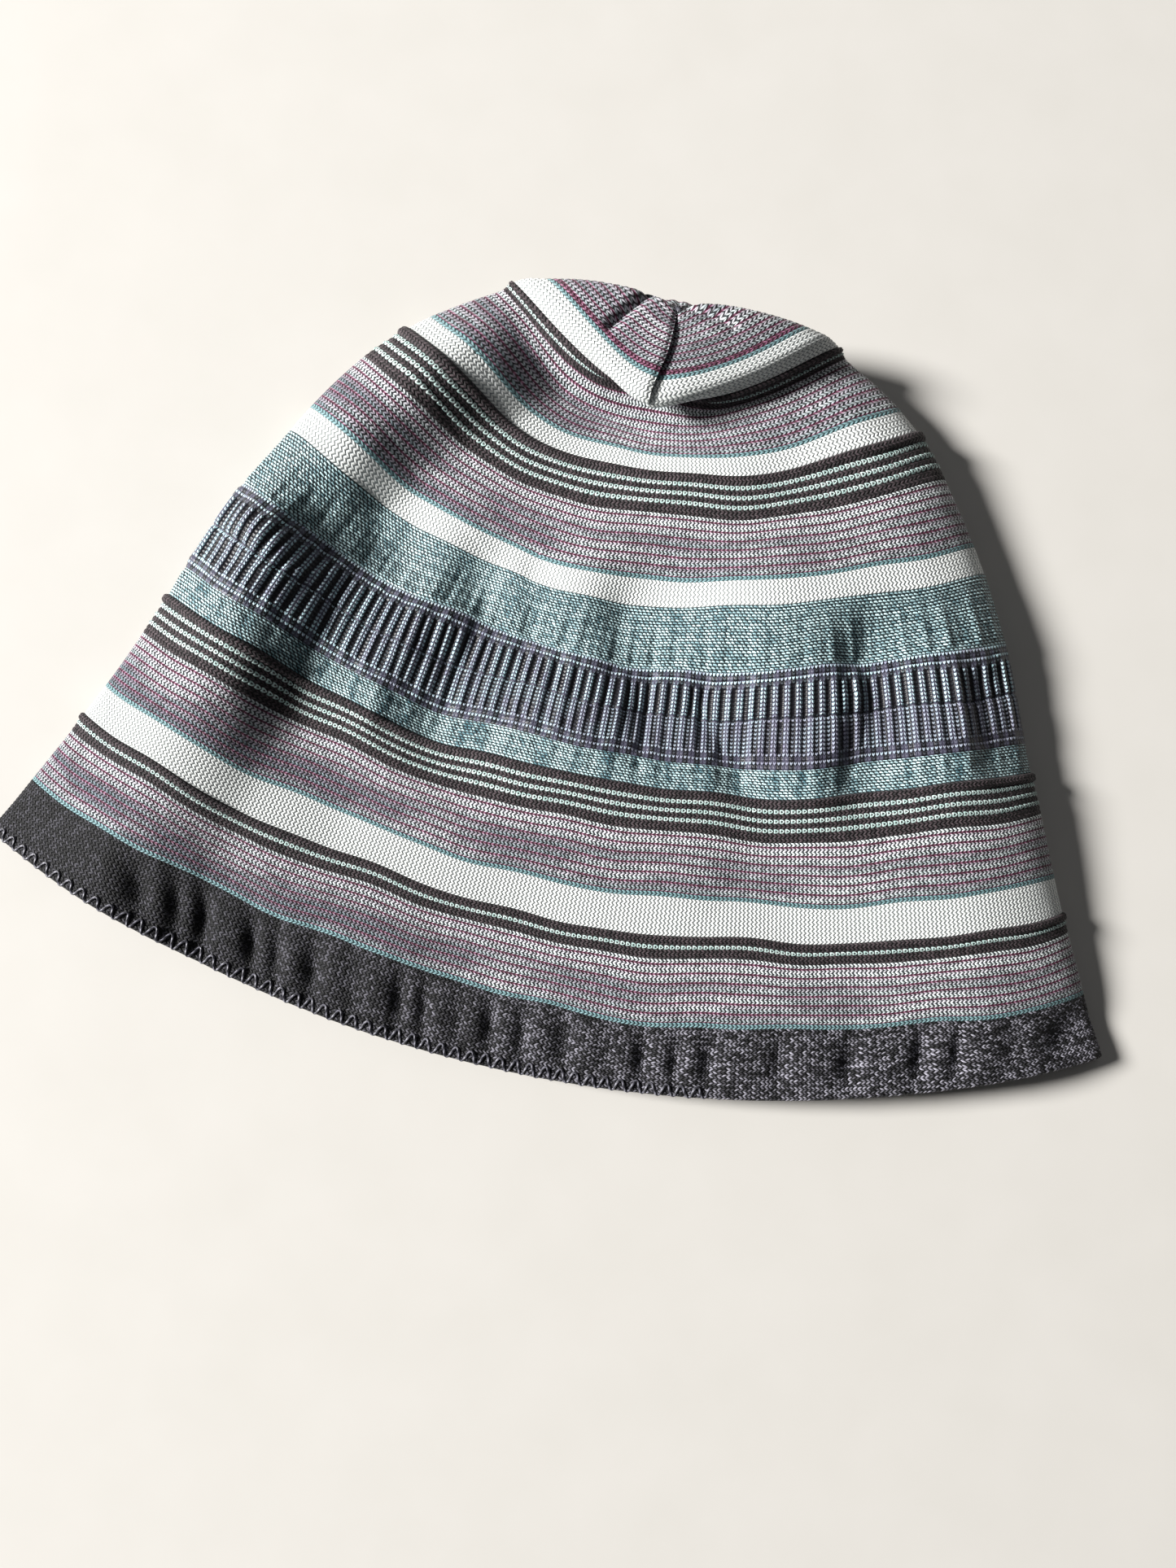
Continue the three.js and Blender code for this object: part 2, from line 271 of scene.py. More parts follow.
def fold_share(x, y, line, width):
    """1 on the line of a fold, and falling to 0 on both sides of it, more slowly on its right."""
    nearest = np.full_like(x, np.inf)
    to_right = np.zeros_like(x)
    for start, end in zip(line, line[1:]):
        away_x, away_y = away_from_line(x, y, start, end)
        distance = np.hypot(away_x, away_y)
        nearer = distance < nearest
        nearest = np.where(nearer, distance, nearest)
        to_right = np.where(nearer, away_x, to_right)
    slow = 0.5 + 0.5 * to_right / (nearest + 0.5)
    return bump(nearest, width * (1 + (SLOW_SIDE - 1) * slow))


def pressed_down(x, y, course):
    """How far the front layer is pressed down by its creases, dimples and grooves."""
    depth = np.zeros_like(x)
    for width, deep, line in FOLDS:
        depth += deep * fold_share(x, y, line, width)
    for middle_x, middle_y, radius, high in SWELLINGS:
        depth -= high * bump(np.hypot(x - middle_x, y - middle_y), radius)
    depth *= 1 - step(course, *CREASES_END)
    for middle_x, deep, width in HEM_DIMPLES:
        from_middle = course - HEM_DIMPLE_COURSE
        line_x = middle_x - HEM_DIMPLE_LEAN * from_middle
        depth += deep * bump(x - line_x, width) * bump(from_middle, HEM_DIMPLE_LENGTH)
    crown = step(course, CROWN_START, CROWN_START + 6)
    for start, end, width, deep in CROWN_GROOVES:
        depth += crown * deep * bump(np.hypot(*away_from_line(x, y, start, end)), width)
    return depth


def above_back_layer(z):
    """Keeps the front layer's middle surface clear of the back layer, with a soft change."""
    lowest = BACK_Z + KNIT + LAYER_GAP
    softness = 0.5
    return lowest + np.logaddexp(0, (z - lowest) / softness) * softness


def rolled_sides(across, course):
    """How far the front layer rises towards its rolled sides and sinks at its middle."""
    reach = np.abs(across)
    rise = 0.5 - 0.5 * np.cos(math.pi * np.minimum(reach / RIDGE_AT, 1))
    high = np.where(across > 0, RIGHT_RISE, LEFT_RISE)
    side_fade = 1 - step(reach, RIDGE_AT + 0.04, 1)
    sunk = SAG * (1 - rise) * step(course, *SAG_START)
    return (high * rise * side_fade - sunk) * (1 - step(course, *SIDES_END))


def row_wave(x, course):
    """How far the rows of stitches wander along the hat."""
    wave = np.zeros_like(x)
    for per_x, per_course, phase, height in ROW_WAVES:
        wave += height * np.sin(x * per_x + course * per_course + phase)
    straighter_at_crown = 1 - 0.6 * step(course, 185, 205)
    return wave * straighter_at_crown


def seam_step(x, course):
    """The left front gore stands above the right one along the front seam."""
    along = step(course, CROWN_START - 1, CROWN_START + 3) * step(course, CROWN_END, CROWN_END - 10)
    side = np.where(x < 0, bump(x, 6), -bump(x, 5))
    return FRONT_SEAM_STEP * along * side


def middle_point(quarter, course, side=0):
    """The fabric's middle surface. quarter is 0 at the right fold, 1 at the middle of the front, 2 at
    the left fold and 3 at the middle of the back. side is 1 or -1 on the right or left front gore."""
    rings = smooth_rows(RINGS, course)
    half, side_y, front_y, back_y, side_z, front_z, back_z, bow = rings[:, 1:].T
    wrapped = np.mod(quarter, 4)
    front = wrapped < 2
    signed = np.where(front, 1 - wrapped, wrapped - 3)
    from_fold = (1 - np.abs(signed)) * math.sqrt(1 + 2 * FOLD)
    across = np.sign(signed) * (1 + FOLD - np.hypot(FOLD, from_fold))
    reach = np.minimum(np.abs(across), 1)
    middle_y = np.where(front, front_y, back_y)
    middle_z = np.where(front, front_z, np.maximum(back_z, BACK_Z))
    roundness = np.where(front, np.where(signed > 0, RIGHT_ROUNDNESS, LEFT_ROUNDNESS), BACK_ROUNDNESS)
    x = half * across
    tuck_y, tuck_z = smooth_rows(TUCK, course)[:, 1:].T
    tuck = np.where(front, bump(x, TUCK_WIDTH), 0)
    y = side_y + (middle_y - side_y) * (1 - reach**bow) + tuck * tuck_y
    z = side_z + (middle_z - side_z) * np.sqrt(1 - reach**roundness) + tuck * tuck_z
    shaped = z + rolled_sides(across, course) - pressed_down(x, y, course)
    z = np.where(front, above_back_layer(shaped), z)
    if side:
        z = z + np.where(front, seam_step(side * np.abs(x) + side * 1e-6, course), 0)
    tip = np.where(front, bump(x, TIP_WIDTH), 0) * bump(course - TIP_COURSE, TIP_LENGTH)
    hem_edge = bump(course - BANDS[0][1], HEM_EXTRA_LENGTH)
    deeper_hem = HEM_EXTRA * bump(x - HEM_EXTRA_X, HEM_EXTRA_WIDTH) * hem_edge
    y = y + row_wave(x, course) * step(course, 0, 12) + np.where(front, deeper_hem, 0)
    return np.stack([x + TIP_SHIFT * tip, y, z], axis=1)


def fabric(quarter, course, outward, side=0):
    """Points at a distance outside the fabric's middle surface, in the frame and in metres."""
    small = 0.01
    lowest_z = 0.02
    low, high = RINGS[0][0], RINGS[-1][0]
    up = middle_point(quarter, np.minimum(course + small, high), side)
    up -= middle_point(quarter, np.maximum(course - small, low), side)
    around = middle_point(quarter + small, course, side) - middle_point(quarter - small, course, side)
    normal = np.cross(up, around)
    normal /= np.linalg.norm(normal, axis=1)[:, None]
    points = middle_point(quarter, course, side) + normal * outward[:, None]
    points[:, 1] += TO_FRAME_Y
    points[:, 2] = np.maximum(points[:, 2], lowest_z)
    return points * MM


# --- relief of the yarn, millimetres
# Heights of the ridges of the rows, the raised welts, the chain lines, the ripples and the ribs
RIDGES = {"white": 0.03, "charcoal": 0.13, "melange": 0.1}
OTHER_RIDGES = 0.2
WELTS = {"black": 0.8, "black_wide": 1.1}
CHAIN_LINES = 0.25
RIPPLE_HEIGHT = 0.5
TEAL_RIBS = 0.16
UPPER_RIBS = 0.38
LOWER_RIBS = 0.26
RIB_LINE_DEPTH = 0.45
# Ripples round the hat: how many, and the phase of each set
RIPPLES = [(23, 0.3), (37, 1.9), (53, 4.0), (71, 2.6), (89, 5.2)]


def ripple(turn):
    """Uneven upright ripples round the hat, from about -1 to 1."""
    waves = sum(np.sin(2 * math.pi * times * turn + phase) for times, phase in RIPPLES)
    return waves / len(RIPPLES) * 1.8


def row_ridges(rows, height):
    """Rounded ridges, one for each row of stitches, and 0 in the grooves between them."""
    return height * np.abs(np.sin(rows * math.pi)) ** 0.8


def band_rows(yarn, length):
    """How many rows of stitches a band of one yarn has."""
    if yarn in BLACK_ROWS:
        return BLACK_ROWS[yarn]
    heights = {"teal": TEAL_ROW, "teal_streaked": TEAL_ROW, "rib": RIB_ROW}
    return round(length / heights.get(yarn, ROW))


def relief(yarn, turn, rows, count):
    """How far the yarn stands proud of the plain fabric. turn is 0 to 1 round the hat."""
    out = row_ridges(rows, RIDGES.get(yarn, OTHER_RIDGES))
    from_end = np.minimum(rows, count - rows)
    edges = step(from_end, 0, 2)
    if yarn in BLACK_ROWS:
        welt = np.clip((rows - (count - WELT_ROWS)) / WELT_ROWS, 0, 1)
        out = out + WELTS[yarn] * np.sin(welt * math.pi) ** 0.6
        for pale in PALE_ROWS[yarn]:
            out = out + CHAIN_LINES * np.sin(np.clip(rows - pale, 0, 1) * math.pi)
    if yarn.startswith("teal"):
        rib_side = rows / count if yarn == "teal_streaked" else 1 - rows / count
        uneven = TEAL_RIBS * rib_wave(turn) + RIPPLE_HEIGHT * ripple(turn)
        out = out * 0.8 + uneven * rib_side * edges
    if yarn == "rib":
        inside = step(from_end, RIB_PLAIN_ROWS - 0.5, RIB_PLAIN_ROWS + 0.7)
        ribs = np.where(rows < RIB_LINE_ROW, LOWER_RIBS, UPPER_RIBS) * rib_wave(turn) * inside
        line = RIB_LINE_DEPTH * bump(rows - RIB_LINE_ROW, 0.6)
        out = out * 0.8 + ribs - line + RIPPLE_HEIGHT * ripple(turn) * edges
    return out


def rib_wave(turn):
    """1 on the ribs of the rib band, and -1 between them."""
    return np.cos(turn * rib_count() * 2 * math.pi)


def rib_count():
    """How many ribs the rib band has round the hat."""
    return 4 * round(half_width(np.array([RIB_MIDDLE]))[0] / RIB_PITCH)


# --- mesh building
def make_mesh(name, points, faces, uvs, material, sharp=None, wrap=None):
    """A mesh object from points, a list of (n, k) arrays of faces, and one uv for each point. wrap is
    the u at which the uvs of a closed band start again."""
    mesh = bpy.data.meshes.new(name)
    mesh.vertices.add(len(points))
    mesh.vertices.foreach_set("co", points.astype(np.float32).ravel())
    corners = np.concatenate([part.ravel() for part in faces])
    sizes = np.concatenate([np.full(len(part), part.shape[1]) for part in faces])
    mesh.loops.add(len(corners))
    mesh.loops.foreach_set("vertex_index", corners.astype(np.int32))
    mesh.polygons.add(len(sizes))
    starts = np.concatenate([[0], np.cumsum(sizes)[:-1]])
    mesh.polygons.foreach_set("loop_start", starts.astype(np.int32))
    mesh.polygons.foreach_set("loop_total", sizes.astype(np.int32))
    mesh.polygons.foreach_set("use_smooth", np.ones(len(sizes), dtype=bool))
    mesh.update(calc_edges=True)
    layer = mesh.uv_layers.new(name="stitches")
    corner_uvs = np.concatenate([unwrapped(uvs[part], wrap).reshape(-1, 2) for part in faces])
    layer.data.foreach_set("uv", corner_uvs.astype(np.float32).ravel())
    if sharp is not None:
        ends = np.zeros(len(mesh.edges) * 2, dtype=np.int32)
        mesh.edges.foreach_get("vertices", ends)
        ends = ends.reshape(-1, 2)
        marks = sharp[ends[:, 0]] & sharp[ends[:, 1]]
        flags = mesh.attributes.new("sharp_edge", "BOOLEAN", "EDGE")
        flags.data.foreach_set("value", marks)
    mesh.validate()
    mesh.materials.append(material)
    thing = bpy.data.objects.new(name, mesh)
    bpy.context.scene.collection.objects.link(thing)
    return thing


def unwrapped(uvs, wrap):
    """The uvs of some faces, with those past the start of a closed band counted on from its end."""
    if wrap is None:
        return uvs
    u = uvs[:, :, 0]
    across = np.ptp(u, axis=1) > wrap / 2
    u[across[:, None] & (u < wrap / 2)] += wrap
    return uvs


def grid_faces(rows, columns, first, closed, flip):
    """Faces of a grid of points stored row by row from a first index."""
    across = np.arange(columns if closed else columns - 1)
    along = np.arange(rows - 1)[:, None]
    a = first + along * columns + across
    b = first + along * columns + (across + 1) % columns
    order = [a, a + columns, b + columns, b] if flip else [a, b, b + columns, a + columns]
    return np.stack(order, axis=-1).reshape(-1, 4)


def rim_faces(outer, inner, closed, flip):
    """Faces from an outer edge to an inner edge with fewer points, one for each inner span."""
    spans = len(inner) if closed else len(inner) - 1
    per = (len(outer) if closed else len(outer) - 1) // spans
    i = np.arange(spans)
    fine = [outer[(i * per + k) % len(outer)] for k in range(per + 1)]
    ends = [inner[(i + 1) % len(inner)], inner[i]]
    face = np.stack(fine + ends, axis=-1)
    return face[:, ::-1] if flip else face


def on_rims(count, grids, closed):
    """Which of count points lie on the rims of some grids of point numbers."""
    marks = np.zeros(count, dtype=bool)
    for grid in grids:
        marks[grid[[0, -1]]] = True
        if not closed:
            marks[grid[:, [0, -1]]] = True
    return marks


def knit_sheet(name, material, places, courses, outward, wales, rows, closed, side=0, wrap=None):
    """A closed thick sheet of fabric. outward, wales and rows give the relief and the stitch counts
    at every place and course."""
    quarter, course = [m.ravel() for m in np.meshgrid(places, courses)]
    outer = fabric(quarter, course, KNIT / 2 + outward(quarter, course), side)
    lining_places = places[::LINING_STEP]
    lining_courses = courses[:: STEPS_PER_ROW // 2]
    inner_quarter, inner_course = [m.ravel() for m in np.meshgrid(lining_places, lining_courses)]
    inner = fabric(inner_quarter, inner_course, np.full(len(inner_quarter), -KNIT / 2), side)
    columns, height = len(places), len(courses)
    inner_columns, inner_height = len(lining_places), len(lining_courses)
    count = len(outer)
    outer_at = np.arange(count).reshape(height, columns)
    inner_at = count + np.arange(len(inner)).reshape(inner_height, inner_columns)
    faces = [
        grid_faces(height, columns, 0, closed, True),
        grid_faces(inner_height, inner_columns, count, closed, False),
        rim_faces(outer_at[0], inner_at[0], closed, False),
        rim_faces(outer_at[-1], inner_at[-1], closed, True),
    ]
    if not closed:
        faces.append(rim_faces(outer_at[:, 0], inner_at[:, 0], False, True))
        faces.append(rim_faces(outer_at[:, -1], inner_at[:, -1], False, False))
    sharp = on_rims(count + len(inner), (outer_at, inner_at), closed)
    all_quarter = np.append(quarter, inner_quarter)
    all_course = np.append(course, inner_course)
    uvs = np.stack([wales(all_quarter, all_course), rows(all_course)], axis=1)
    return make_mesh(name, np.concatenate([outer, inner]), faces, uvs, material, sharp, wrap)


def place_piece(piece, node, body="hat"):
    """Gives a piece its body and the CAD node that it replaces."""
    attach(piece, body)
    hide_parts(node)
    return piece


# --- materials
def rgb(red, green, blue):
    """A screen colour from 0 to 255 as the shader's linear colour."""
    share = [channel / 255 for channel in (red, green, blue)]
    return [c / 12.92 if c < 0.04045 else ((c + 0.055) / 1.055) ** 2.4 for c in share] + [1]


MIX_SOCKETS = (0, 6, 7)  # the factor and the two colours of a colour mix node
HALF_ACROSS = 0.11       # metres from the middle to where the left and right sides begin


class Graph:
    """Short calls that build the nodes of one material."""

    def __init__(self, name, roughness, sheen=0.0):
        self.material = bpy.data.materials.new(name)
        self.material.use_nodes = True
        self.tree = self.material.node_tree
        self.shader = self.tree.nodes["Principled BSDF"]
        look = {"Roughness": roughness, "Sheen Weight": sheen}
        look |= {"Sheen Roughness": 0.4, "Specular IOR Level": 0.3}
        for socket, value in look.items():
            self.shader.inputs[socket].default_value = value

    def put(self, value, socket):
        """Links a node's output to a socket, or sets a plain value on it."""
        if isinstance(value, bpy.types.NodeSocket):
            self.tree.links.new(value, socket)
        else:
            socket.default_value = value

    def node(self, kind):
        return self.tree.nodes.new(f"ShaderNode{kind}")

    def math(self, operation, a, b=0.0, c=0.0):
        """One math node. The short forms below are for the operations that recur."""
        node = self.node("Math")
        node.operation = operation
        for value, socket in zip((a, b, c), node.inputs):
            self.put(value, socket)
        return node.outputs[0]

    def plus(self, a, b):
        return self.math("ADD", a, b)

    def minus(self, a, b):
        return self.math("SUBTRACT", a, b)

    def times(self, a, b):
        return self.math("MULTIPLY", a, b)

    def times_plus(self, a, b, c):
        return self.math("MULTIPLY_ADD", a, b, c)

    def power(self, a, b):
        return self.math("POWER", a, b)

    def floor(self, a):
        return self.math("FLOOR", a)

    def fract(self, a):
        return self.math("FRACT", a)

    def absolute(self, a):
        return self.math("ABSOLUTE", a)

    def sine(self, a):
        return self.math("SINE", a)

    def arch(self, a):
        """0 at 0 and 1, and 1 halfway."""
        return self.sine(self.times(a, math.pi))

    def from_middle(self, a):
        """For each whole step of a, 0 at its middle and 1 at both ends."""
        return self.absolute(self.times_plus(self.fract(a), 2.0, -1.0))

    def step(self, value, low, high):
        node = self.node("MapRange")
        node.interpolation_type = "SMOOTHSTEP"
        self.put(value, node.inputs["Value"])
        node.inputs["From Min"].default_value = low
        node.inputs["From Max"].default_value = high
        return node.outputs[0]

    def mix(self, share, first, second):
        node = self.node("Mix")
        node.data_type = "RGBA"
        for value, i in zip((share, first, second), MIX_SOCKETS):
            self.put(value, node.inputs[i])
        return node.outputs[2]

    def vector(self, x, y, z=0.0):
        node = self.node("CombineXYZ")
        for value, socket in zip((x, y, z), node.inputs):
            self.put(value, socket)
        return node.outputs[0]

    def noise(self, vector, scale=1.0, detail=2.0):
        node = self.node("TexNoise")
        self.put(vector, node.inputs["Vector"])
        node.inputs["Scale"].default_value = scale
        node.inputs["Detail"].default_value = detail
        return node.outputs[0]

    def patches(self, wale, row, per_wale, per_row, detail=2.0):
        """Noise with its own grain along the wales and along the rows."""
        return self.noise(self.vector(self.times(wale, per_wale), self.times(row, per_row)), 1.0, detail)

    def speckle(self, vector):
        node = self.node("TexWhiteNoise")
        node.noise_dimensions = "3D"
        self.put(vector, node.inputs["Vector"])
        return node.outputs[0]

    def stitch_uv(self):
        node = self.node("UVMap")
        node.uv_map = "stitches"
        split = self.node("SeparateXYZ")
        self.put(node.outputs[0], split.inputs[0])
        return split.outputs[0], split.outputs[1]

    def across_hat(self):
        """0 at the hat's left side and 1 at its right side."""
        split = self.node("SeparateXYZ")
        self.put(self.node("TexCoord").outputs["Object"], split.inputs[0])
        return self.step(split.outputs[0], -HALF_ACROSS, HALF_ACROSS)

    def finish(self, colour, height, depth_mm):
        """Joins the colour to the shader and the height to its bump."""
        self.put(colour, self.shader.inputs["Base Color"])
        node = self.node("Bump")
        node.inputs["Strength"].default_value = 1.0
        node.inputs["Distance"].default_value = depth_mm * MM
        self.put(height, node.inputs["Height"])
        self.put(node.outputs[0], self.shader.inputs["Normal"])
        return self.material


class Stitches:
    """Chevron stitches along the rows of knitting, from the counts of wales and rows in the uv map. leg
    is 1 along the middle of each slanted leg of yarn, and speckle is a value of its own for each leg."""

    def __init__(self, graph, slant=0.55, uneven=0.25):
        self.wale, self.row = graph.stitch_uv()
        self.number = graph.math("MAXIMUM", graph.floor(self.row), 0.0)
        from_middle = graph.from_middle(self.row)
        wobble = graph.noise(graph.vector(self.wale, self.row), 0.7, 2.0)
        slanted = graph.times_plus(from_middle, -slant, self.wale)
        slanted = graph.times_plus(wobble, uneven, slanted)
        along = graph.arch(graph.fract(slanted))
        over = graph.arch(from_middle)
        across_leg = graph.times_plus(graph.power(over, 0.5), 0.5, 0.5)
        self.leg = graph.times(graph.power(along, 0.8), across_leg)
        half_row = graph.floor(graph.times(self.row, 2.0))
        self.speckle = graph.speckle(graph.vector(graph.floor(slanted), half_row))
        self.fibre = graph.patches(self.wale, self.row, 6.0, 6.0)
        self.height = graph.times_plus(self.fibre, 0.35, self.leg)


def charcoal_yarn():
    """The hem's mottled charcoal yarn, with painted shade that makes it darker towards the left."""
    g = Graph("charcoal_knit", roughness=0.7, sheen=0.02)
    s = Stitches(g, slant=0.6, uneven=0.35)
    # Painted shade: the yarn's colours are darker towards the left side of the hat.
    right = g.across_hat()
    dim = g.mix(right, rgb(20, 19, 24), rgb(84, 82, 90))
    bright = g.mix(right, rgb(66, 65, 72), rgb(158, 156, 167))
    fleck = g.times(s.leg, g.times_plus(s.speckle, 0.9, 0.35))
    colour = g.mix(g.power(s.speckle, 2.0), dim, bright)
    # The near-black colour is painted shade in the gaps between the legs, and it also fills legs whose
    # flecks are faint.
    return g.finish(g.mix(g.step(fleck, 0.3, 0.95), rgb(7, 7, 9), colour), s.height, 0.3)


def melange_colours(g, s, first, rows):
    """Pairs of rows with pale mint or lilac stitches, and a thin maroon line between the pairs. The
    stitches get painted light that makes them paler towards the right of the hat, and painted shade in
    the gaps between them.
    """
    place = g.math("MODULO", g.math("MAXIMUM", g.minus(s.row, float(first)), 0.0), 2.0)
    from_pair = g.absolute(g.minus(place, 1.0))
    line = g.step(from_pair, 0.66, 0.86)
    lilac = g.math("GREATER_THAN", place, 1.0)
    crownward = g.step(s.row, first + rows * 0.5, first + rows * 0.8)
    drift = g.patches(s.wale, s.row, 0.03, 0.14, 3.0)
    pale = g.times(g.step(drift, 0.42, 0.66), 0.7)
    pale = g.math("MAXIMUM", pale, g.times(crownward, 0.8))
    # Painted light: the paleness, which partly comes from the yarn's random space-dyed patches, is
    # raised towards the right of the hat.
    pale = g.times(g.times_plus(g.across_hat(), 0.55, pale), 0.66)
    mint_leg = g.mix(pale, rgb(108, 122, 130), rgb(244, 252, 251))
    lilac_leg = g.mix(pale, rgb(118, 110, 124), rgb(243, 240, 246))
    # Painted shade: the gaps between the legs get these dark colours, and the maroon line gets its
    # darkest colour there too.
    painted_gap_shade = g.mix(pale, rgb(9, 9, 13), rgb(28, 34, 39))
    leg = g.mix(lilac, mint_leg, lilac_leg)
    bright = g.times_plus(s.speckle, 0.35, g.minus(s.leg, 0.15))
    stitches = g.mix(g.step(bright, 0.4, 0.86), painted_gap_shade, leg)
    maroon = g.mix(g.step(bright, 0.6, 1.15), rgb(62, 12, 36), rgb(164, 112, 140))
    return g.mix(line, stitches, maroon)


def teal_line_colour(g, s):
    """The thin line of teal yarn beside a melange band, with painted shade in the gaps between its legs.
    """
    return g.mix(g.step(s.leg, 0.2, 0.9), rgb(40, 66, 70), rgb(124, 156, 160))


def white_colours(g, s):
    """Off-white legs with grey painted shade between them, and painted shade that makes them a little
    greyer at the left.
    """
    tone = g.patches(s.wale, s.row, 0.2, 0.3)
    across = g.across_hat()
    # Painted shade: the colours at the left are greyer copies of those at the right.
    left = g.mix(tone, rgb(204, 207, 204), rgb(216, 218, 215))
    right = g.mix(tone, rgb(236, 239, 236), rgb(246, 248, 245))
    return g.mix(g.step(s.leg, 0.05, 0.8), rgb(126, 133, 134), g.mix(across, left, right))


def melange_yarn():
    """A thin teal line on the hem side, then melange."""
    g = Graph("melange_knit", roughness=0.5, sheen=0.1)
    s = Stitches(g)
    colour = melange_colours(g, s, first=1, rows=13)
    in_line = g.math("LESS_THAN", s.number, 0.5)
    return g.finish(g.mix(in_line, colour, teal_line_colour(g, s)), s.height, 0.3)


def white_yarn():
    g = Graph("white_knit", roughness=0.6, sheen=0.1)
    s = Stitches(g)
    return g.finish(white_colours(g, s), s.height, 0.3)


def crown_yarn():
    """White at the outside of the crown, then a thin teal line, then melange to the middle."""
    g = Graph("crown_knit", roughness=0.5, sheen=0.1)
    s = Stitches(g)
    melange = melange_colours(g, s, first=9, rows=30)
    line = g.math("GREATER_THAN", s.number, CROWN_WHITE_ROWS - 0.5)
    inside = g.math("GREATER_THAN", s.number, CROWN_WHITE_ROWS + CROWN_TEAL_ROWS - 0.5)
    colour = g.mix(line, white_colours(g, s), teal_line_colour(g, s))
    return g.finish(g.mix(inside, colour, melange), s.height, 0.28)


def black_yarn(yarn):
    """Warm black stitches, with rows of pale chain loops in between."""
    g = Graph(f"{yarn}_knit", roughness=0.7, sheen=0.03)
    s = Stitches(g)
    warm = g.patches(s.wale, s.row, 0.6, 0.8)
    fleck = g.times(s.leg, g.times_plus(s.speckle, 0.6, 0.55))
    # The near-black colour is painted shade in the gaps between the legs.
    black = g.mix(g.step(fleck, 0.2, 0.95), rgb(6, 5, 6), g.mix(warm, rgb(50, 42, 45), rgb(90, 78, 82)))
    row = g.floor(s.row)
    in_line = 0.0
    for pale in PALE_ROWS[yarn]:
        in_line = g.plus(in_line, g.math("COMPARE", row, float(pale), 0.5))
    loops_per_wale = 0.75
    flattened = 0.86
    v = g.times(g.minus(g.fract(s.row), 0.5), flattened)
    leaning = g.times_plus(g.absolute(v), -0.5, g.times(s.wale, loops_per_wale))
    u = g.minus(g.fract(leaning), 0.5)
    radius = g.math("SQRT", g.plus(g.times(u, u), g.times(v, v)))
    loop = g.times(g.step(radius, 0.08, 0.26), g.step(radius, 0.5, 0.34))
    tone = g.times_plus(s.speckle, 0.5, g.times(s.fibre, 0.6))
    mint = g.mix(tone, rgb(152, 190, 184), rgb(230, 245, 241))
    share = g.times(loop, in_line)
    height = g.math("MAXIMUM", s.height, g.times(share, 1.6))
    return g.finish(g.mix(share, black, mint), height, 0.32)


TEAL_LEGS = 1.25     # slanted legs of yarn for each wale of the teal bands
TEAL_LEG_ROWS = 1.3  # rows of these legs for each row of the mesh's ridges


def teal_yarn(name, painted_ripple_shading):
    """Light slanted legs of yarn over dark gaps of painted shade, in lighter and darker upright streaks
    that paint the light and shade of ripples.
    """
    g = Graph(name, roughness=0.42, sheen=0.1)
    wale, row = g.stitch_uv()
    wale = g.times(wale, TEAL_LEGS)
    row = g.times(row, TEAL_LEG_ROWS)
    wobble = g.noise(g.vector(wale, g.floor(row)), 0.8, 2.0)
    offset = g.times_plus(g.math("MODULO", g.floor(row), 2.0), 0.4, wobble)
    shifted = g.plus(wale, offset)
    across = g.fract(shifted)
    lift = g.arch(across)
    lean = g.times(g.minus(across, 0.5), -0.35)
    along = g.arch(g.fract(g.plus(g.times_plus(lift, -0.15, row), g.plus(lean, 0.2))))
    arc = g.times(g.power(along, 1.4), g.power(lift, 0.5))
    fibre = g.patches(wale, row, 5.0, 8.0)
    cell = g.speckle(g.vector(g.floor(shifted), g.floor(row)))
    # Painted light and shade: upright streaks that stand for the shading of ripples in the fabric.
    painted_ripple_shade = g.patches(wale, row, 0.26, 0.025, 3.0)
    painted_ripple_shade = g.times_plus(painted_ripple_shade, painted_ripple_shading, 0.5 - 0.5 * painted_ripple_shading)
    tone = g.times_plus(cell, 0.5, g.minus(painted_ripple_shade, 0.22))
    light = g.mix(g.step(tone, 0.05, 0.85), rgb(88, 126, 136), rgb(216, 247, 250))
    # The dark colour is painted shade in the gaps between the legs.
    colour = g.mix(g.step(arc, 0.2, 0.85), rgb(14, 28, 32), light)
    return g.finish(colour, g.times_plus(fibre, 0.25, arc), 0.26)


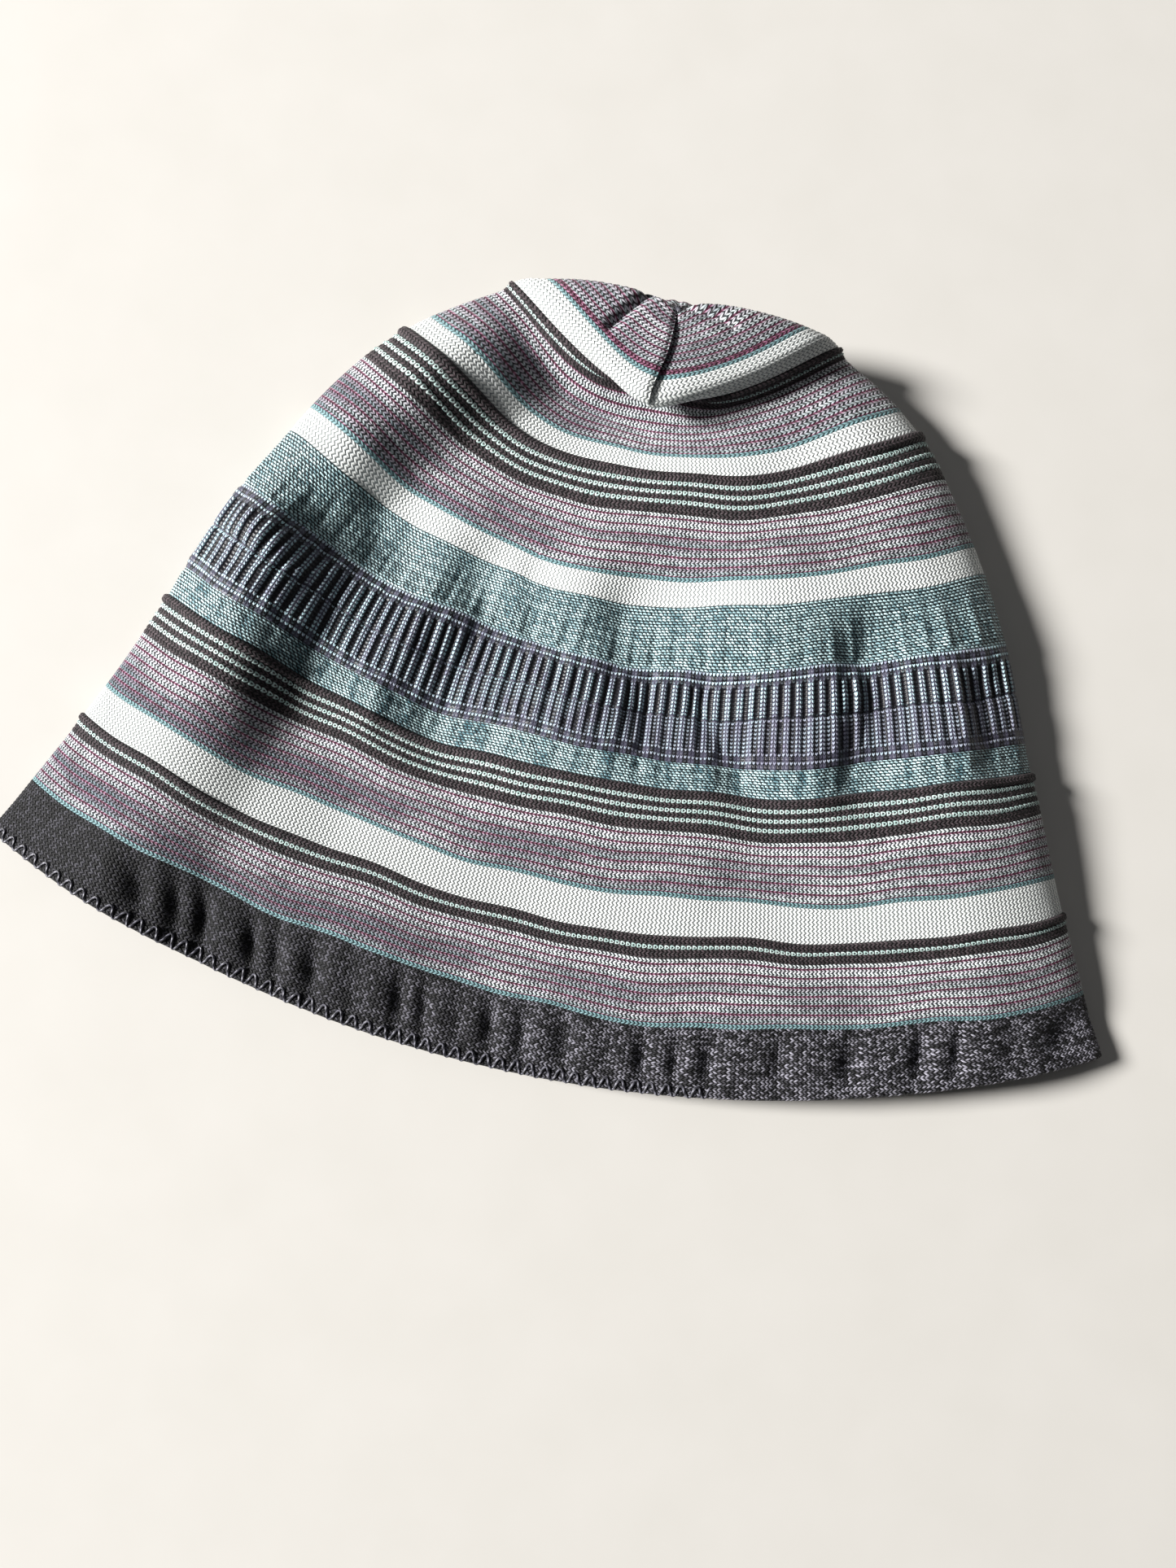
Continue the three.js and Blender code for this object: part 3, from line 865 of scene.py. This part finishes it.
def rib_yarn():
    """Two rows of pale ribs over hollows darkened by painted shade. The row nearer the hem is muted at
    the right.
    """
    g = Graph("rib_knit", roughness=0.42, sheen=0.15)
    wale, row = g.stitch_uv()
    count = band_rows("rib", band_length("rib_band"))
    across = g.from_middle(wale)
    lower = g.step(row, RIB_LINE_ROW + 0.2, RIB_LINE_ROW - 0.2)
    muted = g.times(lower, g.math("MINIMUM", g.times(g.across_hat(), 1.6), 1.0))
    patchy = g.patches(wale, row, 0.35, 0.12, 3.0)
    rib = g.step(across, 0.3, 0.7)
    from_end = g.math("MINIMUM", row, g.minus(float(count), row))
    inside = g.step(from_end, RIB_PLAIN_ROWS - 0.3, RIB_PLAIN_ROWS + 0.4)
    from_line = g.absolute(g.minus(row, float(RIB_LINE_ROW)))
    inside = g.times(inside, g.step(from_line, 0.3, 0.8))
    stitches_per_rib = 3.0
    fine_wale = g.times(wale, stitches_per_rib)
    third = g.from_middle(fine_wale)
    slanted = g.times_plus(third, -0.35, row)
    row_arc = g.arch(g.fract(slanted))
    cell = g.speckle(g.vector(g.floor(fine_wale), g.floor(slanted)))
    stitch = g.times(g.power(row_arc, 1.3), g.step(third, 1.0, 0.35))
    between = g.times(g.times_plus(muted, 0.42, 0.18), g.step(patchy, 0.2, 0.6))
    ribbed = g.times(stitch, g.plus(rib, g.times(between, g.minus(1.0, rib))))
    doubled = g.math("MODULO", g.floor(row), 2.0)
    plain = g.times(stitch, g.times_plus(doubled, 0.75, 0.25))
    light = g.mix(g.step(patchy, 0.35, 0.65), rgb(148, 150, 172), rgb(194, 230, 238))
    light = g.mix(g.times(cell, 0.6), light, rgb(206, 230, 236))
    light = g.mix(g.times(muted, 0.6), light, rgb(128, 122, 142))
    # Painted shade: the hollows between the ribs get the darkest colour.
    dark = g.mix(rib, rgb(15, 13, 19), rgb(66, 64, 80))
    bright = g.plus(g.times(ribbed, inside), g.times(plain, g.minus(1.0, inside)))
    colour = g.mix(g.step(bright, 0.1, 0.72), dark, light)
    return g.finish(colour, g.times_plus(inside, g.times(rib, 0.8), bright), 0.35)


def band_length(node):
    """The length of one colour band along the fabric."""
    start = 0
    for name, end, _ in BANDS:
        if name == node:
            return end - start
        start = end


def thread_material():
    g = Graph("sewing_thread", roughness=0.4, sheen=0.1)
    wale, row = g.stitch_uv()
    ply = g.sine(g.times(g.plus(g.times(wale, 2.0), row), 2 * math.pi))
    ply = g.times_plus(ply, 0.5, 0.5)
    return g.finish(g.mix(ply, rgb(42, 42, 48), rgb(106, 105, 114)), ply, 0.12)


def label_material():
    g = Graph("woven_label", roughness=0.45, sheen=0.1)
    wale, row = g.stitch_uv()
    warp = g.sine(g.times(wale, 2 * math.pi))
    weft = g.sine(g.times(row, 2 * math.pi))
    weave = g.times_plus(g.times(warp, weft), 0.5, 0.5)
    stain = g.patches(wale, row, 0.05, 0.05)
    colour = g.mix(weave, rgb(206, 204, 196), g.mix(stain, rgb(226, 224, 216), rgb(240, 239, 234)))
    return g.finish(colour, weave, 0.08)


def floor_material():
    g = Graph("pale_floor", roughness=0.75)
    place = g.node("TexCoord").outputs["Object"]
    grain = g.noise(place, 40.0, 3.0)
    return g.finish(g.mix(grain, rgb(192, 189, 183), rgb(198, 195, 190)), grain, 0.02)


MATERIALS = {
    "charcoal": charcoal_yarn(),
    "melange": melange_yarn(),
    "black": black_yarn("black"),
    "black_wide": black_yarn("black_wide"),
    "white": white_yarn(),
    "teal": teal_yarn("teal_knit", 0.7),
    "teal_streaked": teal_yarn("teal_streaked_knit", 2.2),
    "rib": rib_yarn(),
    "crown": crown_yarn(),
}
THREAD = thread_material()


# --- the hat's fabric
def colour_band(node, start, end, yarn):
    """One colour band, all the way round the hat, from the middle of the back."""
    count = band_rows(yarn, end - start)
    columns = RIB_COLUMNS if yarn == "rib" else COLUMNS
    places = SEAMS["back"] + 4 * np.arange(columns) / columns
    courses = np.linspace(start, end, count * STEPS_PER_ROW + 1)
    half = half_width(np.array([(start + end) / 2]))[0]
    width = {"teal": TEAL_WALE, "teal_streaked": TEAL_WALE, "rib": RIB_PITCH}.get(yarn, WALE)
    wale_count = rib_count() if yarn == "rib" else 4 * round(half / width)

    def turn(quarter):
        return (quarter - SEAMS["back"]) / 4

    def rows(course):
        return (course - start) / (end - start) * count

    def outward(quarter, course):
        out = relief(yarn, turn(quarter), rows(course), count)
        if node == BANDS[0][0]:
            edge = np.clip(1 - course / 1.2, 0, 1)
            out = out - KNIT * 0.4 * (1 - np.sqrt(1 - edge**2))
        return out

    def wales(quarter, course):
        return turn(quarter) * wale_count

    piece = knit_sheet(f"{node}_knit", MATERIALS[yarn], places, courses, outward, wales, rows, True,
                       wrap=wale_count)
    return place_piece(piece, node)


def crown_gore(node, number):
    """One of the four gores, a quarter of the hat, narrowing to the middle of the crown."""
    columns = COLUMNS // 4
    places = np.linspace(number, number + 1, columns + 1)
    count = round((CROWN_END - CROWN_START) / ROW)
    courses = np.linspace(CROWN_START, CROWN_END, count * STEPS_PER_ROW + 1)
    side = (1, -1, 0, 0)[number]

    def rows(course):
        return (course - CROWN_START) / (CROWN_END - CROWN_START) * count

    def wales(quarter, course):
        above_zero = 200
        return (quarter - number - 0.5) * half_width(course) / WALE + above_zero

    def outward(quarter, course):
        from_seam = np.minimum(quarter - number, number + 1 - quarter) * half_width(course)
        rolled = step(course, CROWN_START + 2, CROWN_START + 6) * (1 - step(from_seam, 0, 1.6))
        return row_ridges(rows(course), OTHER_RIDGES) - 0.5 * rolled

    piece = knit_sheet(f"{node}_knit", MATERIALS["crown"], places, courses, outward, wales, rows, False,
                       side)
    return place_piece(piece, node)


bands = {}
band_start = 0
for band_name, band_end, band_yarn in BANDS:
    bands[band_name] = colour_band(band_name, band_start, band_end, band_yarn)
    band_start = band_end
gores = {gore_name: crown_gore(gore_name, number) for number, gore_name in enumerate(GORES)}


# --- threads, seams and label
def tube(name, path, radius, material, closed=False, sides=8, turns_per_mm=0.5):
    """A closed thread of round section along a path in metres. radius is in millimetres, and may be
    a function of the angle round the thread and of the distance along it."""
    following = np.roll(path, -1, axis=0) - path
    before = np.roll(following, 1, axis=0)
    if not closed:
        following[-1] = following[-2]
        before[0] = 0
    length = np.linalg.norm(following, axis=1)
    along = following + before
    along /= np.linalg.norm(along, axis=1)[:, None]
    side = np.cross(along, [0, 0, 1.0])
    side /= np.maximum(np.linalg.norm(side, axis=1), 1e-9)[:, None]
    up = np.cross(side, along)
    distance = (np.cumsum(length) - length) / MM
    angle = np.arange(sides) / sides * 2 * math.pi
    size = radius(angle[None, :], distance[:, None]) if callable(radius) else radius
    size = np.broadcast_to(size, (len(path), sides))[..., None] * MM
    sweep = angle[None, :, None]
    ring = np.cos(sweep) * side[:, None, :] + np.sin(sweep) * up[:, None, :]
    points = (path[:, None, :] + ring * size).reshape(-1, 3)
    points[:, 2] = np.maximum(points[:, 2], 0.01 * MM)
    faces = tube_faces(len(path), sides, closed)
    u = np.tile(np.arange(sides) / sides, len(path))
    v = np.repeat(distance * turns_per_mm, sides)
    return make_mesh(name, points, faces, np.stack([u, v], axis=1), material)


def tube_faces(rings, sides, closed):
    """Faces of a tube, with a cap at both ends of an open one."""
    ring = np.arange(rings if closed else rings - 1)[:, None]
    k = np.arange(sides)
    here = ring * sides
    after = (ring + 1) % rings * sides
    nearby = (k + 1) % sides
    faces = np.stack([here + nearby, after + nearby, after + k, here + k], axis=-1).reshape(-1, 4)
    last = (rings - 1) * sides
    return [faces] if closed else [faces, k[None, :], (last + k)[None, ::-1]]


ZIGZAG_PITCH = 4.1
ZIGZAG_HEIGHT = 3.3
ZIGZAG_THREAD = 0.36  # radius of the thread
ROLLED_FROM_X = 48    # right of here the thread lies on the inner side of the front


def hem_zigzag():
    """The overlock thread that binds the hem's raw edge in slanting stitches."""
    per_stitch = 10
    stitches = round(4 * RINGS[0][1] / ZIGZAG_PITCH)
    t = np.arange(stitches * per_stitch) / per_stitch
    swing = 0.5 - 0.5 * np.cos(2 * math.pi * t)
    sharper = step(swing, -0.12, 1.12)
    quarter = 4 * t / stitches
    x = middle_point(quarter, np.zeros_like(t))[:, 0]
    rolled = np.where(quarter < 2, step(x, ROLLED_FROM_X, ROLLED_FROM_X + 14), 0)
    over_edge = KNIT / 2 - 0.5 * (1 - swing) ** 3 + ZIGZAG_THREAD * 0.75
    outward = over_edge * (1 - 2 * rolled)
    path = fabric(quarter, ZIGZAG_HEIGHT * sharper, outward)
    piece = tube("hem_zigzag_stitches", path, ZIGZAG_THREAD, THREAD, closed=True)
    return place_piece(piece, "hem_zigzag_thread")


# A crown seam's allowance: where it starts and ends along the fabric, and how far inside it lies
SEAM_START = 212
SEAM_END = 229
SEAM_INSIDE = 1.65


def crown_seam(name, quarter):
    """The sewn allowance of one crown seam inside the hat, wrapped by its overlock thread."""
    course = np.linspace(SEAM_START, SEAM_END, 120)
    path = fabric(np.full_like(course, quarter), course, np.full_like(course, -SEAM_INSIDE))

    def wrapped(angle, distance):
        return 0.55 + 0.14 * np.abs(np.sin(distance / 1.1 * math.pi + angle / 2))

    piece = tube(f"crown_seam_{name}_overlock", path, wrapped, THREAD, sides=12)
    return place_piece(piece, f"crown_seam_{name}")


TACK_LOOPS = 5
TACK_HALF_WIDTH = 1.25
TACK_HALF_HEIGHT = 0.75
TACK_THREAD = 0.3


def crown_tack():
    """The gathering thread at the middle of the crown: loops crossing over each other."""
    centre = fabric(np.array([1.0]), np.array([RINGS[-1][0]]), np.array([0.0]))[0]
    sweep = np.linspace(0, 2 * math.pi, 28, endpoint=False)
    flat = TACK_HALF_WIDTH * MM * np.cos(sweep)
    rise = TACK_HALF_HEIGHT * MM * np.sin(sweep)
    loops = []
    for i in range(TACK_LOOPS):
        turn = i / TACK_LOOPS * math.pi
        arc = centre + np.stack([flat * math.cos(turn), flat * math.sin(turn), rise], axis=1)
        loops.append(tube(f"tack_loop_{i}", arc, TACK_THREAD, THREAD, closed=True))
    with bpy.context.temp_override(active_object=loops[0], selected_editable_objects=loops):
        bpy.ops.object.join()
    loops[0].name = "crown_tack_loops"
    return place_piece(loops[0], "crown_tack")


LABEL_COLUMNS = 65
LABEL_ROWS = 89
LABEL_THICK = 0.3
SELVEDGE = 0.1  # how much thicker the label is at its selvedges


def care_label():
    """A woven tape sewn by one edge, with thicker selvedges and a soft wave along it."""
    low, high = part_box("care_label")
    across = np.linspace(0, 1, LABEL_COLUMNS)
    along = np.linspace(0, 1, LABEL_ROWS)
    u, v = [m.ravel() for m in np.meshgrid(across, along)]
    selvedge = bump(np.minimum(u, 1 - u), 0.03)
    wave = 0.22 * np.sin(v * 7) * np.sin(u * 3 + 1) * v + 0.9 * v**4 * (0.4 + 0.6 * u)
    x = low.x + (high.x - low.x) * u
    y = low.y + (high.y - low.y) * v
    faces = []
    points = []
    for side in (1, 0):
        thick = (LABEL_THICK + SELVEDGE * selvedge) * side
        points.append(np.stack([x, y, low.z + (0.05 + thick + np.maximum(wave, 0)) * MM], axis=1))
        first = len(x) * (1 - side)
        faces.append(grid_faces(LABEL_ROWS, LABEL_COLUMNS, first, False, not side))
    top = np.arange(len(x)).reshape(LABEL_ROWS, LABEL_COLUMNS)
    under = top + len(x)
    for edge, flip in ((0, False), (-1, True)):
        faces.append(rim_faces(top[edge], under[edge], False, not flip))
        faces.append(rim_faces(top[:, edge], under[:, edge], False, flip))
    uvs = np.tile(np.stack([u * 110, v * 150], axis=1), (2, 1))
    sharp = on_rims(2 * len(x), (top, under), False)
    piece = make_mesh("care_label_tape", np.concatenate(points), faces, uvs, label_material(), sharp)
    return place_piece(piece, "care_label", body="care_label")


def label_stitch():
    """The running stitch that holds the label's edge."""
    low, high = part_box("label_stitch")
    x = np.linspace(low.x, high.x, 240)
    middle = (low + high) / 2
    dip = 0.22 * MM * np.sin((x - low.x) / (2.4 * MM) * 2 * math.pi)
    path = np.stack([x, np.full_like(x, middle.y), middle.z + dip], axis=1)
    piece = tube("label_running_stitch", path, 0.24, THREAD)
    return place_piece(piece, "label_stitch")


zigzag = hem_zigzag()
for seam_name, seam_quarter in SEAMS.items():
    crown_seam(seam_name, seam_quarter)
crown_tack()
label = care_label()
label_stitch()


# --- camera, floor and light
camera = bpy.data.objects.new("camera", bpy.data.cameras.new("camera"))
bpy.context.scene.collection.objects.link(camera)
camera.data.lens = 27.03
camera.data.sensor_width = 36
CAMERA_PLACE = (0.0003, -0.0642, 0.3399)
CAMERA_TILT = {"X": -5.78, "Y": 1.50, "Z": -11.49}
look = Matrix.Identity(3)
for axis, degrees in CAMERA_TILT.items():
    look = look @ Matrix.Rotation(math.radians(degrees), 3, axis)
camera.matrix_world = Matrix.Translation(CAMERA_PLACE) @ look.transposed().to_4x4()
bpy.context.scene.camera = camera

bpy.ops.mesh.primitive_plane_add(size=6, location=(0, 0, 0))
floor = bpy.context.object
floor.name = "floor"
floor.data.materials.append(floor_material())


def declare_cloth():
    """Pairs each band too narrow to be cut alone with a wider one and works out half widths, but keeps
    nothing of it.
    """
    go_with = {
        "hem_band": [zigzag],
        "melange_band_1": [bands["black_band_1"], bands["white_band_1"]],
        "melange_band_2": [],
        "black_band_2": [bands["teal_band_lower"]],
        "rib_band": [],
        "teal_band_upper": [bands["white_band_2"]],
        "melange_band_3": [],
        "black_band_3": [bands["white_band_3"]],
        "melange_band_4": [bands["black_band_4"]],
    }
    start = 0
    for name, end, _ in BANDS:
        if name in go_with:
            half = half_width(np.array([(start + end) / 2]))[0]
            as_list(go_with[name])
        start = end
    half = half_width(np.linspace(CROWN_START, CROWN_END, 50))


declare_cloth()


def area_light(name, place, size, watts, colour):
    """A round lamp that faces the middle of the hat."""
    data = bpy.data.lights.new(name, "AREA")
    data.shape = "DISK"
    data.size = size
    data.energy = watts
    data.color = colour
    lamp = bpy.data.objects.new(name, data)
    bpy.context.scene.collection.objects.link(lamp)
    lamp.location = place
    lamp.rotation_euler = (-Vector(place)).to_track_quat("-Z", "Y").to_euler()


area_light("window", (-3.93, -0.20, 2.18), size=1.2, watts=630, colour=(1.0, 0.99, 0.975))
area_light("fill", (-0.1, 0.5, 1.1), size=1.0, watts=0.8, colour=(0.97, 0.98, 1.0))
world = bpy.data.worlds.new("studio")
world.use_nodes = True
sky = world.node_tree.nodes["Background"].inputs
sky["Color"].default_value = (0.96, 0.97, 1.0, 1)
sky["Strength"].default_value = 0.065
bpy.context.scene.world = world
bpy.context.scene.view_settings.view_transform = "Standard"
